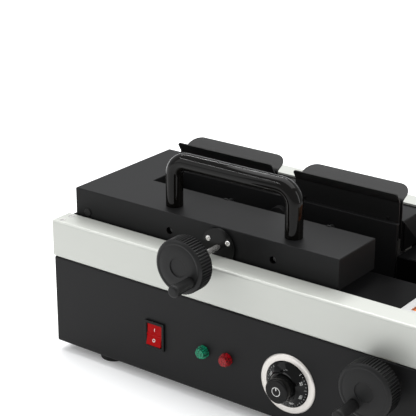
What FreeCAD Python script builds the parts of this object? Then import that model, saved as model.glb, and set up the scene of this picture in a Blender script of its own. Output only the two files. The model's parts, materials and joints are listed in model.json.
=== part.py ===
import FreeCAD, Part
import os
import re
import Sketcher

# Upright wafer and cone press.  Millimetres, +Z up, +X to the machine's right, the controls face -Y.
# The origin is on the floor, under the middle of the whole machine.
#
# Thin batter sheets stand in two narrow slots between a fixed rear platen and a press carriage.  The
# upper crank screws the carriage forward and back, the lower crank lifts the baked sheets, and the bay
# at the right end holds the mandrel on which a warm sheet is rolled into a cone.

document = FreeCAD.newDocument("ConePress")

# ---------------------------------------------------------------- driving dimensions
SIZES = {
    # whole machine
    "half_length": 255.5, "front_face": -125, "rear_face": 175, "foot_height": 11, "foot_radius": 15,
    "foot_across": 193.5, "foot_front": -100, "foot_rear": 150,
    # painted base
    "base_inset": 0.3, "base_height": 101, "base_sheet": 1.5, "base_flange": 12, "inner_gap": 0.2,
    # bright rails along the front and the rear edge
    "rail_height": 42, "rail_depth": 27, "rail_sheet": 2, "rail_lip": 12, "rail_bend": 3,
    "rail_screw_end": 9, "rail_screw_outer": 7, "rail_screw_inner": 21,
    # deck between the rails
    "deck_sheet": 1.5, "bay_left": 152.5, "well_front": -37, "well_left": -193.3, "bay_right": 253.3,
    # black head on the deck
    "head_left": -247, "head_right": 85.5, "head_front": -95, "bar_back": -28, "channel_left": -193.5,
    "rear_cover_front": 28, "head_back": 67.5, "head_height": 32.5, "head_sheet": 1.5,
    # press carriage, drawn closed
    "plate_left": -191, "plate_front": 15, "plate_sheet": 2, "platen_bottom": 66, "platen_top": 164.8,
    "front_platen": 4.5, "bake_gap": 5, "rear_platen": 10, "grid_pitch": 12, "grid_depth": 1,
    "heater_sheet": 6, "insulation": 14, "rod_radius": 3, "rod_left": -119, "rod_right": 9.8,
    "rod_level": 164.5, "running_gap": 0.05,
    # wafer chutes
    "chute_sheet": 1.2, "chute_top": 206.6, "chute_foot": 165, "left_chute": -193.2,
    "left_chute_width": 125.5, "right_chute": -40.5, "right_chute_width": 124.5, "rear_flare_out": 20,
    "rear_flare_up": 10.4, "front_flare_out": 6.3, "front_flare_up": 10.5, "flare_round": 14, "tip_round": 4,
    # cranks
    "press_crank_across": -54.7, "press_crank_level": 163.2, "lift_crank_across": 153,
    "lift_crank_level": 91.6, "press_wheel_front": -163.5, "lift_wheel_front": -157, "wheel_radius": 28.5,
    "wheel_face": 25, "wheel_width": 19, "hub_radius": 11, "hub_length": 24, "hub_ring": 10,
    "hub_recess": 1.2, "wheel_web": 4, "knurl_radius": 1.1, "knurl_count": 60, "shaft_radius": 3, "grip_radius": 6.5, "grip_length": 27.7, "grip_gap": 0.3,
    "pin_radius": 2.5, "flange_radius": 20, "flange_sheet": 2.8,
    # bow handle
    "handle_left": -128, "handle_right": 20.3, "handle_depth": -74.3, "handle_radius": 9.25,
    "handle_top": 244.5, "handle_bend": 17,
    # controls on the base front
    "control_level": 58, "switch_across": -115.5, "switch_width": 25.5, "switch_tall": 31,
    "green_across": -52.5, "red_across": -23.5, "lamp_radius": 7, "lamp_body": 5.5,
    "dial_across": 50.5, "dial_level": 54.4, "dial_ring": 31.5, "dial_bore": 24.5, "dial_sheet": 2,
    "skirt_radius": 23.5, "skirt_depth": 8, "knob_radius": 13, "knob_length": 12.5, "dial_shaft": 3,
    # sheet lift
    "lift_travel": 45, "blade_sheet": 2.5, "blade_top": 64, "blade_tall": 20, "post_radius": 4,
    "left_post": -205, "right_post": 118, "gear_module": 2, "gear_teeth": 16, "gear_width": 12,
    # catch tray, forming bay, mandrel
    "tray_front": -28, "tray_back": 58, "tray_bottom": 18, "tray_tall": 18, "tray_sheet": 1.2,
    "tray_right": 82, "recess_left": 160, "recess_right": 243, "recess_front": -92,
    "recess_back": 140, "recess_floor": 126.5, "recess_sheet": 1.2, "cone_across": 201.5,
    "cone_level": 156, "cone_tip": -84, "cone_mouth": 36, "cone_tip_radius": 4, "cone_radius": 24,
    "stick_radius": 8, "stick_end": 132, "cradle_gap": 0.4,
}
sheet = document.addObject("Spreadsheet::Sheet", "Sizes")
for row, (alias, number) in enumerate(SIZES.items(), start=1):
    sheet.set(f"A{row}", alias)
    sheet.set(f"B{row}", str(number))
    sheet.setAlias(f"B{row}", alias)
document.recompute()

nodes = []


def from_sheet(text):
    """The expression text with each sheet alias written as FreeCAD wants it."""
    return re.sub(r"[a-z_]+", lambda word: "Sizes." + word[0] if word[0] in SIZES else word[0], str(text))


def bind(item, **properties):
    """Bind properties to expressions; a double underscore in a name stands for a full stop."""
    for name, text in properties.items():
        item.setExpression(name.replace("__", "."), from_sheet(text))


def put(item, across, depth, level, turn=None):
    """Place an item by expressions; turn is an optional rotation."""
    item.Placement = FreeCAD.Placement(FreeCAD.Vector(), turn or FreeCAD.Rotation())
    bind(item, Placement__Base__x=across, Placement__Base__y=depth, Placement__Base__z=level)
    return item


def node(item, label):
    """Mark a finished sub-part: its label is its node and file name."""
    item.Label = label
    nodes.append(item)
    return item


def block(name, low, high):
    """A box between two corners, each a triple of expressions."""
    item = document.addObject("Part::Box", name)
    bind(item, Length=f"({high[0]}) - ({low[0]})", Width=f"({high[1]}) - ({low[1]})",
         Height=f"({high[2]}) - ({low[2]})")
    return put(item, *low)


ALONG = {"x": FreeCAD.Rotation(FreeCAD.Vector(0, 1, 0), 90),
         "y": FreeCAD.Rotation(FreeCAD.Vector(1, 0, 0), -90),
         "z": FreeCAD.Rotation()}


def rod(name, along, start, radius, length):
    """A cylinder from start, running along the named axis."""
    item = document.addObject("Part::Cylinder", name)
    bind(item, Radius=radius, Height=length)
    return put(item, *start, turn=ALONG[along])


def cone(name, along, start, first_radius, last_radius, length):
    item = document.addObject("Part::Cone", name)
    bind(item, Radius1=first_radius, Radius2=last_radius, Height=length)
    return put(item, *start, turn=ALONG[along])


def join(name, items):
    item = document.addObject("Part::MultiFuse", name)
    item.Shapes = items
    return item


def cut(name, base, tools):
    item = document.addObject("Part::Cut", name)
    item.Base = base
    item.Tool = tools[0] if len(tools) == 1 else join(name + "_tools", tools)
    return item


# ---------------------------------------------------------------- sketched bodies
def polygon(body, name, plane, corners):
    """A closed sketch on one of the body's own planes; every corner is tied to the sheet."""
    support = [item for item in body.Origin.OriginFeatures if item.Role == plane][0]
    sketch = body.newObject("Sketcher::SketchObject", name)
    sketch.AttachmentSupport = [(support, "")]
    sketch.MapMode = "FlatFace"
    count = len(corners)
    spots = [FreeCAD.Rotation(FreeCAD.Vector(0, 0, 1), 360 * i / count).multVec(FreeCAD.Vector(50, 0, 0))
             for i in range(count)]
    for i in range(count):
        sketch.addGeometry(Part.LineSegment(spots[i], spots[(i + 1) % count]), False)
    for i in range(count):
        sketch.addConstraint(Sketcher.Constraint("Coincident", i, 2, (i + 1) % count, 1))
    for i, (first, second) in enumerate(corners):
        for kind, text, start in (("DistanceX", first, spots[i].x), ("DistanceY", second, spots[i].y)):
            place = sketch.addConstraint(Sketcher.Constraint(kind, -1, 1, i, 1, start))
            sketch.renameConstraint(place, f"{kind}_{i}")
            sketch.setExpression(f"Constraints.{kind}_{i}", from_sheet(text))
    return sketch


def padded(name, plane, corners, length):
    """A body with one padded outline."""
    body = document.addObject("PartDesign::Body", name)
    pad = body.newObject("PartDesign::Pad", name + "_pad")
    pad.Profile = polygon(body, name + "_outline", plane, corners)
    bind(pad, Length=length)
    document.recompute()
    return body


def rounded(body, radius, wanted):
    """Fillet the edges of the body's tip whose middle point and direction wanted() accepts."""
    base = body.Tip
    picked = []
    for i, edge in enumerate(base.Shape.Edges, start=1):
        middle = edge.valueAt((edge.FirstParameter + edge.LastParameter) / 2)
        if wanted(middle, edge.tangentAt(edge.FirstParameter), edge.Length):
            picked.append(f"Edge{i}")
    fillet = body.newObject("PartDesign::Fillet", body.Name + "_round_" + str(len(body.Group)))
    fillet.Base = (base, picked)
    bind(fillet, Radius=radius)
    document.recompute()
    return body


def turned(name, corners):
    """A body turned about its own Y axis; corners are radius and distance along the axis."""
    body = document.addObject("PartDesign::Body", name)
    turning = body.newObject("PartDesign::Revolution", name + "_turning")
    outline = polygon(body, name + "_outline", "XY_Plane", corners)
    turning.Profile = outline
    turning.ReferenceAxis = (outline, ["V_Axis"])
    turning.Angle = 360
    document.recompute()
    return body


# ---------------------------------------------------------------- levels worked out from the sheet
BASE_TOP = "foot_height + base_height"
RAIL_TOP = "foot_height + base_height + rail_height"
DECK_TOP = "foot_height + base_height + rail_height - rail_sheet"
DECK_UNDER = "foot_height + base_height + rail_height - rail_sheet - deck_sheet"
HEAD_TOP = "foot_height + base_height + rail_height - rail_sheet + head_height"
FRONT_WALL = "front_face + base_inset"
REAR_WALL = "rear_face - base_inset"
SIDE = "half_length - base_inset"
REAR_PLATEN_FACE = "plate_front + plate_sheet + front_platen + bake_gap"
SLOT_MIDDLE = "plate_front + plate_sheet + front_platen + bake_gap / 2"
CHUTE_WALL = "plate_front + plate_sheet + front_platen"


# ---------------------------------------------------------------- base
def base_shell():
    """Folded box with an inward top flange, open below, with the holes for everything it carries."""
    outside = block("shell_outside", (f"-({SIDE})", FRONT_WALL, "foot_height"), (SIDE, REAR_WALL, BASE_TOP))
    wall = "base_sheet"
    inside = block("shell_inside", (f"-({SIDE}) + {wall}", f"{FRONT_WALL} + {wall}", "foot_height - 1"),
                   (f"{SIDE} - {wall}", f"{REAR_WALL} - {wall}", f"{BASE_TOP} - {wall}"))
    mouth = block("shell_mouth",
                  (f"-({SIDE}) + base_flange", f"{FRONT_WALL} + base_flange", f"{BASE_TOP} - 5"),
                  (f"{SIDE} - base_flange", f"{REAR_WALL} - base_flange", f"{BASE_TOP} + 5"))
    switch = block("switch_hole", ("switch_across - switch_width / 2 + 1.3", f"{FRONT_WALL} - 5",
                                   "control_level - switch_tall / 2 + 1.3"),
                   ("switch_across + switch_width / 2 - 1.3", f"{FRONT_WALL} + 5",
                    "control_level + switch_tall / 2 - 1.3"))
    holes = [("green_hole", "green_across", "control_level", "lamp_body + 0.1"),
             ("red_hole", "red_across", "control_level", "lamp_body + 0.1"),
             ("dial_hole", "dial_across", "dial_level", "dial_shaft + 1"),
             ("lift_hole", "lift_crank_across", "lift_crank_level", "shaft_radius + 4.1")]
    drilled = [rod(name, "y", (across, f"{FRONT_WALL} - 5", level), radius, "10")
               for name, across, level, radius in holes]
    gland = rod("gland_hole", "y", ("-foot_across", f"{REAR_WALL} - 6", "40"), "8.1", "12")
    tray = block("tray_hole", (f"-({SIDE}) - 5", "tray_front - 1.5", "tray_bottom - 1.5"),
                 (f"-({SIDE}) + 5", "tray_back + 1.5", "tray_bottom + tray_tall + 4"))
    return node(cut("shell", outside, [inside, mouth, switch, gland, tray] + drilled), "base_shell")


def bottom_plate():
    """Closing sheet with two rows of cooling slots, foot screw holes and the catch tray's runners."""
    edge = "base_sheet + inner_gap"
    plate = block("bottom_sheet", (f"-({SIDE}) + {edge}", f"{FRONT_WALL} + {edge}", "foot_height"),
                  (f"{SIDE} - ({edge})", f"{REAR_WALL} - ({edge})", "foot_height + base_sheet"))
    slots = []
    for column in range(8):
        for line, depth in (("front", "-80"), ("rear", "90")):
            start = f"-150 + {column} * 40"
            slots.append(block(f"vent_{line}_{column}", (start, depth, "foot_height - 3"),
                               (f"{start} + 22", f"{depth} + 5", "foot_height + 5")))
    holes = [rod(f"foot_hole_{side}{end}", "z", (f"{side}foot_across", end, "foot_height - 3"), "2.1", "8")
             for side in ("", "-") for end in ("foot_front", "foot_rear")]
    runners = [block(f"tray_runner_{i}", ("-245", start, "foot_height + base_sheet"),
                     ("tray_right", stop, "tray_bottom - 0.3"))
               for i, (start, stop) in enumerate((("tray_front", "tray_front + 12"),
                                                  ("tray_back - 12", "tray_back")))]
    return node(join("bottom", [cut("bottom_pierced", plate, slots + holes)] + runners), "bottom_plate")


def feet():
    """Four rubber feet, each drawn up by a screw whose head sits in a recess under the foot."""
    rubber, screws = [], []
    for side in ("", "-"):
        for end in ("foot_front", "foot_rear"):
            place = (f"{side}foot_across", end)
            tag = f"{len(rubber)}"
            pad = cone("foot_cone_" + tag, "z", (*place, "0"), "foot_radius", "foot_radius + 1.5", "foot_height")
            recess = rod("foot_recess_" + tag, "z", (*place, "-1"), "5", "5")
            bore = rod("foot_bore_" + tag, "z", (*place, "-1"), "2.1", "foot_height + 5")
            rubber.append(cut("foot_" + tag, pad, [recess, bore]))
            head = rod("foot_screw_head_" + tag, "z", (*place, "2"), "4", "2")
            shank = rod("foot_screw_shank_" + tag, "z", (*place, "2"), "2", "foot_height + 3")
            screws.append(join("foot_screw_" + tag, [head, shank]))
    node(join("feet_group", rubber), "rubber_feet")
    node(join("foot_screw_group", screws), "foot_screws")


# ---------------------------------------------------------------- rails, end plates and deck
def screw_spots():
    """The eight places where a rail, the deck under it and an end plate's tab are screwed together."""
    spots = []
    for side in ("-", ""):
        across = f"{side}(half_length - rail_screw_end)"
        for depth in ("front_face + rail_screw_outer", "front_face + rail_screw_inner",
                      "rear_face - rail_screw_outer", "rear_face - rail_screw_inner"):
            spots.append((across, depth))
    return spots


def countersinks(tag):
    """Tools for the countersunk rail holes."""
    return [cone(f"{tag}_sink_{i}", "z", (*spot, f"{RAIL_TOP} - 1.6"), "2.2", "4.2", "2")
            for i, spot in enumerate(screw_spots())]


def clearance_holes(tag, radius):
    return [rod(f"{tag}_hole_{i}", "z", (*spot, f"{RAIL_TOP} - 12"), radius, "15")
            for i, spot in enumerate(screw_spots())]


def rail(label, outer, inward):
    """A bright folded channel; outer is its outside face and inward the sign towards the deck."""
    top, sheet_ = RAIL_TOP, "rail_sheet"
    face, back = f"{outer}", f"{outer} {inward} rail_sheet"
    corners = [(face, BASE_TOP), (face, top), (f"{outer} {inward} rail_depth", top),
               (f"{outer} {inward} rail_depth", f"{top} - {sheet_}"), (back, f"{top} - {sheet_}"),
               (back, f"{BASE_TOP} + {sheet_}"), (f"{outer} {inward} rail_lip", f"{BASE_TOP} + {sheet_}"),
               (f"{outer} {inward} rail_lip", BASE_TOP)]
    body = padded(label + "_fold", "YZ_Plane", corners, "2 * half_length")
    face_at = SIZES[outer]
    rounded(body, "rail_bend", lambda middle, way, size: abs(way.x) > 0.9 and abs(middle.y - face_at) < 0.01
            and middle.z > SIZES["rail_height"])
    put(body, "-half_length", "0", "0")
    return node(cut(label + "_drilled", body, countersinks(label) + clearance_holes(label, "2.2")), label)


def end_plate(label, side):
    """Sheet that closes the machine's end between the rails, with a tab under each rail end."""
    inner = "rail_sheet + 0.2"
    lip = "rail_lip + 0.2"
    outline = [(f"front_face + {inner}", f"{BASE_TOP} + {inner}"), (f"front_face + {inner}", DECK_UNDER),
               (f"rear_face - ({inner})", DECK_UNDER), (f"rear_face - ({inner})", f"{BASE_TOP} + {inner}"),
               (f"rear_face - ({lip})", f"{BASE_TOP} + {inner}"), (f"rear_face - ({lip})", BASE_TOP),
               (f"front_face + {lip}", BASE_TOP), (f"front_face + {lip}", f"{BASE_TOP} + {inner}")]
    wall = padded(label + "_wall", "YZ_Plane", outline, "rail_sheet")
    put(wall, f"{side}half_length - rail_sheet" if side == "" else "-half_length", "0", "0")
    low, high = ("half_length - 20", "half_length") if side == "" else ("-half_length", "20 - half_length")
    tabs = [block(f"{label}_tab_{end}", (low, start, f"{DECK_UNDER} - 2"), (high, stop, DECK_UNDER))
            for end, start, stop in (("front", f"front_face + {inner}", "front_face + rail_depth"),
                                     ("rear", "rear_face - rail_depth", f"rear_face - ({inner})"))]
    return node(cut(label + "_drilled", join(label + "_joined", [wall] + tabs),
                    clearance_holes(label, "2.02")), label)


def rail_screws():
    screws = []
    for i, spot in enumerate(screw_spots()):
        head = cone(f"rail_screw_head_{i}", "z", (*spot, f"{RAIL_TOP} - 1.8"), "2", "3.5", "1.7")
        shank = rod(f"rail_screw_shank_{i}", "z", (*spot, f"{RAIL_TOP} - 7"), "2", "6")
        slot = block(f"rail_screw_slot_{i}", (f"{spot[0]} - 3", f"{spot[1]} - 0.4", f"{RAIL_TOP} - 0.8"),
                     (f"{spot[0]} + 3", f"{spot[1]} + 0.4", RAIL_TOP))
        screws.append(cut(f"rail_screw_{i}", join(f"rail_screw_body_{i}", [head, shank]), [slot]))
    return node(join("rail_screw_group", screws), "rail_screws")


def deck():
    """Black deck in two sheets: an L under the head, and the strip behind the baking well."""
    edge_front, edge_rear = "front_face + 2.2", "rear_face - 2.2"
    corners = [("-bay_right", edge_front), ("bay_left - 0.2", edge_front), ("bay_left - 0.2", "well_front"),
               ("well_left", "well_front"), ("well_left", edge_rear), ("-bay_right", edge_rear)]
    front = padded("deck_front_sheet", "XY_Plane", corners, "deck_sheet")
    put(front, "0", "0", DECK_UNDER)
    lip = block("deck_front_lip", ("well_left", "well_front - deck_sheet", f"{DECK_UNDER} - 12"),
                ("bay_left - 0.2", "well_front", DECK_UNDER))
    node(cut("deck_front_drilled", join("deck_front_joined", [front, lip]),
             clearance_holes("deck_front", "2.2")), "front_deck")
    back = "head_back + 1"
    corners = [("well_left + 0.2", back), ("head_right + 3", back), ("head_right + 3", "plate_front - 1"),
               ("bay_left - 0.2", "plate_front - 1"), ("bay_left - 0.2", edge_rear),
               ("well_left + 0.2", edge_rear)]
    rear = padded("deck_rear_sheet", "XY_Plane", corners, "deck_sheet")
    put(rear, "0", "0", DECK_UNDER)
    node(rear, "rear_deck")


def channel_trough():
    """U-shaped trough that carries the press channel on past the head, open at its left end."""
    low = ("head_right + 3", "well_front + 0.2", "118")
    high = ("bay_left - 2", "plate_front - 1.2", f"{DECK_TOP} - 0.3")
    outside = block("trough_outside", low, high)
    inside = block("trough_inside", (f"{low[0]} - 5", f"{low[1]} + 1.2", "119.2"),
                   (f"{high[0]} - 1.2", f"{high[1]} - 1.2", f"{DECK_TOP} + 5"))
    return node(cut("trough", outside, [inside]), "channel_trough")


# ---------------------------------------------------------------- head
def head_cover():
    """C-shaped sheet cover, open below, over the front bar, the left block and the rear platen."""
    outline = [("head_left", "head_front"), ("head_right", "head_front"), ("head_right", "bar_back"),
               ("channel_left", "bar_back"), ("channel_left", "rear_cover_front"),
               ("head_right", "rear_cover_front"), ("head_right", "head_back"), ("head_left", "head_back")]
    body = padded("head_form", "XY_Plane", outline, "head_height")
    solid = body.Shape.Volume
    wall = "head_sheet"
    hollow = [(f"head_left + {wall}", f"head_front + {wall}"), (f"head_right - {wall}", f"head_front + {wall}"),
              (f"head_right - {wall}", f"bar_back - {wall}"), (f"channel_left - {wall}", f"bar_back - {wall}"),
              (f"channel_left - {wall}", "rear_cover_front"), (f"head_right - {wall}", "rear_cover_front"),
              (f"head_right - {wall}", f"head_back - {wall}"), (f"head_left + {wall}", f"head_back - {wall}")]
    top = SIZES["head_height"]
    front = SIZES["head_front"]
    rounded(body, "1.2", lambda middle, way, size: abs(way.z) < 0.1 and abs(middle.z - top) < 0.01
            and (abs(middle.y - front) < 0.01 or size > 100 or abs(way.y) > 0.9)
            and abs(middle.y - SIZES["rear_cover_front"]) > 0.01)
    pocket = body.newObject("PartDesign::Pocket", "head_hollow")
    pocket.Profile = polygon(body, "head_hollow_outline", "XY_Plane", hollow)
    pocket.Reversed = True
    bind(pocket, Length="head_height - head_sheet")
    document.recompute()
    if pocket.Shape.Volume > 0.5 * solid:
        raise RuntimeError("the head's hollow was not cut")
    put(body, "0", "0", DECK_TOP)
    passes = [("crank", "press_crank_across", "press_crank_level", "shaft_radius + 2", "head_front - 5"),
              ("rod_left", "rod_left", "rod_level", "rod_radius + 0.9", "head_front - 5"),
              ("rod_right", "rod_right", "rod_level", "rod_radius + 0.9", "head_front - 5")]
    holes = [rod("head_hole_" + name, "y", (across, start, level), radius, "8")
             for name, across, level, radius, start in passes]
    backs = [rod("head_back_hole_" + name, "y", (across, "bar_back - 5", level), radius, "8")
             for name, across, level, radius in (("crank", "press_crank_across", "press_crank_level", "6"),
                                                 ("left", "rod_left", "rod_level", "5.1"),
                                                 ("right", "rod_right", "rod_level", "5.1"))]
    backs += [rod(f"head_handle_hole_{i}", "z", (across, "handle_depth", f"{HEAD_TOP} - 8"), "2.7", "16")
              for i, across in enumerate(("handle_left", "handle_right"))]
    plug = rod("head_hole_plug", "y", ("head_left + 16.5", "head_front - 5", f"{DECK_TOP} + 7"), "3.6", "8")
    ticks = [block(f"head_tab_{i}", (f"{across} - 2.5", "bar_back - 2", f"{HEAD_TOP} - 0.5"),
                   (f"{across} + 2.5", "bar_back", f"{HEAD_TOP} + 0.8"))
             for i, across in enumerate(("-94.5", "32.5"))]
    joined = join("head_joined", [body] + ticks)
    return node(cut("head_drilled", joined, holes + backs + [plug]), "head_cover")


def head_details():
    plug_place = ("head_left + 16.5", f"{DECK_TOP} + 7")
    cap = rod("plug_cap", "y", (plug_place[0], "head_front - 1.2", plug_place[1]), "4.4", "1.2")
    stem = rod("plug_stem", "y", (plug_place[0], "head_front - 1.2", plug_place[1]), "3.5", "6")
    node(join("plug", [cap, stem]), "hole_plug")
    outline = [("rear_cover_front + 0.2", DECK_TOP), ("rear_cover_front + 0.2", f"{HEAD_TOP} - 1.5"),
               ("head_back - 7", DECK_TOP)]
    gusset = padded("gusset", "YZ_Plane", outline, "head_sheet")
    put(gusset, "head_right + 0.05", "0", "0")
    node(gusset, "end_gusset")


def bow_handle():
    """Bent round bar standing on the head, fixed from below by two screws."""
    level = "handle_top - handle_radius - handle_bend"
    pieces = []
    for tag, across, start, sign in (("left", "handle_left", 180, "+"), ("right", "handle_right", 270, "-")):
        pieces.append(rod(f"handle_leg_{tag}", "z", (across, "handle_depth", HEAD_TOP), "handle_radius",
                          f"{level} - ({HEAD_TOP})"))
        bend = document.addObject("Part::Torus", f"handle_bend_{tag}")
        bind(bend, Radius1="handle_bend", Radius2="handle_radius")
        bend.Angle3 = 90
        turn = FreeCAD.Rotation(FreeCAD.Vector(1, 0, 0), 90) * FreeCAD.Rotation(
            FreeCAD.Vector(0, 0, 1), 90 if tag == "left" else 0)
        put(bend, f"{across} {sign} handle_bend", "handle_depth", level, turn=turn)
        pieces.append(bend)
    pieces.append(rod("handle_span", "x", ("handle_left + handle_bend", "handle_depth",
                                           "handle_top - handle_radius"), "handle_radius",
                      "handle_right - handle_left - 2 * handle_bend"))
    bored = cut("handle_bored", join("handle_bar", pieces),
                [rod(f"handle_thread_{i}", "z", (across, "handle_depth", f"{HEAD_TOP} - 1"), "2.55", "13")
                 for i, across in enumerate(("handle_left", "handle_right"))])
    node(bored, "bow_handle")


def handle_screws():
    screws = []
    for i, across in enumerate(("handle_left", "handle_right")):
        head = rod(f"handle_screw_head_{i}", "z", (across, "handle_depth", f"{HEAD_TOP} - head_sheet - 3"),
                   "4.2", "3")
        shank = rod(f"handle_screw_shank_{i}", "z", (across, "handle_depth", f"{HEAD_TOP} - head_sheet - 3"),
                    "2.5", "14")
        screws.append(join(f"handle_screw_{i}", [head, shank]))
    node(join("handle_screw_group", screws), "handle_screws")


def crank_flange():
    """Threaded flange on the head front, flat where it meets the deck, and the two screws that hold it."""
    place = ("press_crank_across", "head_front - flange_sheet", "press_crank_level")
    disc = rod("flange_disc", "y", place, "flange_radius", "flange_sheet")
    nut = rod("flange_nut", "y", place, "shaft_radius + 1.8", "flange_sheet + 12")
    bore = rod("flange_bore", "y", ("press_crank_across", "head_front - 20", "press_crank_level"),
               "shaft_radius + running_gap", "60")
    spots = [("press_crank_across - 12.1", "press_crank_level + 7"),
             ("press_crank_across + 12.1", "press_crank_level + 7")]
    holes = [rod(f"flange_hole_{i}", "y", (across, "head_front - 20", level), "1.6", "40")
             for i, (across, level) in enumerate(spots)]
    flat = block("flange_flat", ("press_crank_across - 30", "head_front - 20", f"{DECK_TOP} - 20"),
                 ("press_crank_across + 30", "head_front", f"{DECK_TOP} + 0.3"))
    node(cut("flange_drilled", join("flange_joined", [disc, nut]), [bore, flat] + holes), "crank_flange")
    screws = []
    for i, (across, level) in enumerate(spots):
        head = rod(f"flange_screw_head_{i}", "y", (across, "head_front - flange_sheet - 1.6", level), "2.9", "1.6")
        shank = rod(f"flange_screw_shank_{i}", "y", (across, "head_front - flange_sheet - 1.6", level), "1.5",
                    "flange_sheet + 1.5")
        screws.append(join(f"flange_screw_{i}", [head, shank]))
    node(join("flange_screw_group", screws), "flange_screws")


# ---------------------------------------------------------------- baking well
def grid(tag, face, low_x, high_x):
    """Tools for the shallow crossed grooves of a platen face; face is the groove's first depth."""
    tools = []
    columns = int((SIZES[high_x] - SIZES[low_x]) / SIZES["grid_pitch"])
    rows = int((SIZES["platen_top"] - SIZES["platen_bottom"]) / SIZES["grid_pitch"])
    for i in range(1, columns):
        start = f"{low_x} + {i} * grid_pitch"
        tools.append(block(f"{tag}_upright_{i}", (start, face, "platen_bottom - 1"),
                           (f"{start} + 2", f"{face} + grid_depth", "platen_top + 1")))
    for i in range(1, rows):
        start = f"platen_bottom + {i} * grid_pitch"
        tools.append(block(f"{tag}_level_{i}", (f"{low_x} - 2", face, start),
                           (f"{high_x} + 2", f"{face} + grid_depth", f"{start} + 2")))
    return tools


def rear_platen():
    """Fixed rear platen with its strip heater and its insulation board."""
    left, right = "plate_left + 2", "head_right - 3"
    plate = block("rear_plate", (left, REAR_PLATEN_FACE, "platen_bottom"),
                  (right, f"{REAR_PLATEN_FACE} + rear_platen", "platen_top"))
    node(cut("rear_plate_cut", plate, grid("rear_grid", REAR_PLATEN_FACE, "plate_left", "head_right")),
         "rear_platen")
    back = f"{REAR_PLATEN_FACE} + rear_platen"
    node(block("rear_strip", (f"{left} + 4", back, "platen_bottom + 8"),
               (f"{right} - 4", f"{back} + heater_sheet", "platen_top - 20")), "rear_heater")
    node(block("rear_board", (f"{left} + 1", f"{back} + heater_sheet", "platen_bottom + 2"),
               (f"{right} - 1", f"{back} + heater_sheet + insulation", "platen_top - 15")),
         "rear_insulation")


def press_carriage():
    """Front platen on its backing plate with a thrust boss, top ledge, heater and guide rods; closed."""
    back = "plate_front + plate_sheet"
    backing = block("backing", ("plate_left", "plate_front", "platen_bottom"), ("head_right", back, HEAD_TOP))
    ledge = block("backing_ledge", ("plate_left", "plate_front", f"{HEAD_TOP} - chute_sheet"),
                  ("head_right", f"{CHUTE_WALL} - chute_sheet", HEAD_TOP))
    boss = rod("boss_body", "y", ("press_crank_across", "plate_front - 6", "press_crank_level"), "10", "6")
    bore = rod("boss_bore", "y", ("press_crank_across", "plate_front - 12", "press_crank_level"),
               "shaft_radius + running_gap", "10")
    node(cut("backing_bored", join("backing_joined", [backing, ledge, boss]), [bore]), "press_plate")
    plate = block("front_plate", ("plate_left + 2", back, "platen_bottom"),
                  ("head_right - 3", f"{back} + front_platen", "platen_top"))
    node(cut("front_plate_cut", plate, grid("front_grid", f"{back} + front_platen - grid_depth",
                                            "plate_left", "head_right")), "front_platen")
    node(block("front_strip", ("plate_left + 8", "plate_front - heater_sheet", "platen_bottom + 8"),
               ("head_right - 40", "plate_front", "platen_top - 25")), "front_heater")
    rods = [rod(f"guide_rod_{i}", "y", (across, "head_front + 4", "rod_level"), "rod_radius",
                "plate_front - head_front - 4") for i, across in enumerate(("rod_left", "rod_right"))]
    node(join("guide_rod_group", rods), "guide_rods")
    bushes = []
    for i, across in enumerate(("rod_left", "rod_right")):
        sleeve = rod(f"bush_sleeve_{i}", "y", (across, "bar_back - 12", "rod_level"), "5", "13")
        collar = rod(f"bush_collar_{i}", "y", (across, "bar_back", "rod_level"), "7", "1.5")
        hole = rod(f"bush_bore_{i}", "y", (across, "bar_back - 20", "rod_level"),
                   "rod_radius + running_gap", "40")
        bushes.append(cut(f"bush_{i}", join(f"bush_joined_{i}", [sleeve, collar]), [hole]))
    node(join("bush_group", bushes), "guide_bushes")


def chute(label, start, width, wall_at, outward, out, up, corner):
    """One sheet wall of a chute with its flared top; outward is the sign of the flare along Y."""
    thick = "chute_sheet"
    far = f"{wall_at} {outward} {thick}"
    slant = f"sqrt({out} ^ 2 + {up} ^ 2)"
    corners = [(wall_at, "chute_foot"), (wall_at, "chute_top"),
               (f"{wall_at} {outward} {out}", f"chute_top + {up}"),
               (f"{wall_at} {outward} ({out} + {thick} * {up} / {slant})",
                f"chute_top + {up} - {thick} * {out} / {slant}"),
               (far, f"chute_top - {thick} * ({slant} - {up}) / {out}"), (far, "chute_foot")]
    body = padded(label + "_fold", "YZ_Plane", corners, width)
    tip = SIZES["chute_top"] + SIZES[up] - 2
    rounded(body, corner, lambda middle, way, size: middle.z > tip and abs(way.x) < 0.1 and size < 2)
    return node(put(body, start, "0", "0"), label)


def chutes():
    front_wall = f"({CHUTE_WALL})"
    rear_wall = f"({REAR_PLATEN_FACE})"
    for side in ("left", "right"):
        start, width = side + "_chute", side + "_chute_width"
        chute(f"{side}_chute_front", start, width, front_wall, "-", "front_flare_out", "front_flare_up",
              "tip_round")
        chute(f"{side}_chute_rear", start, width, rear_wall, "+", "rear_flare_out", "rear_flare_up",
              "flare_round")
    spots = [f"{side}_chute + {inset}" for side in ("left", "right")
             for inset in ("12", f"{side}_chute_width - 12")]
    heads = [rod(f"chute_screw_{i}", "y", (across, f"{CHUTE_WALL} - chute_sheet - 1.2", f"{HEAD_TOP} + 3"),
                 "1.6", "1.2") for i, across in enumerate(spots)]
    node(join("chute_screw_group", heads), "chute_screws")


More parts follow.
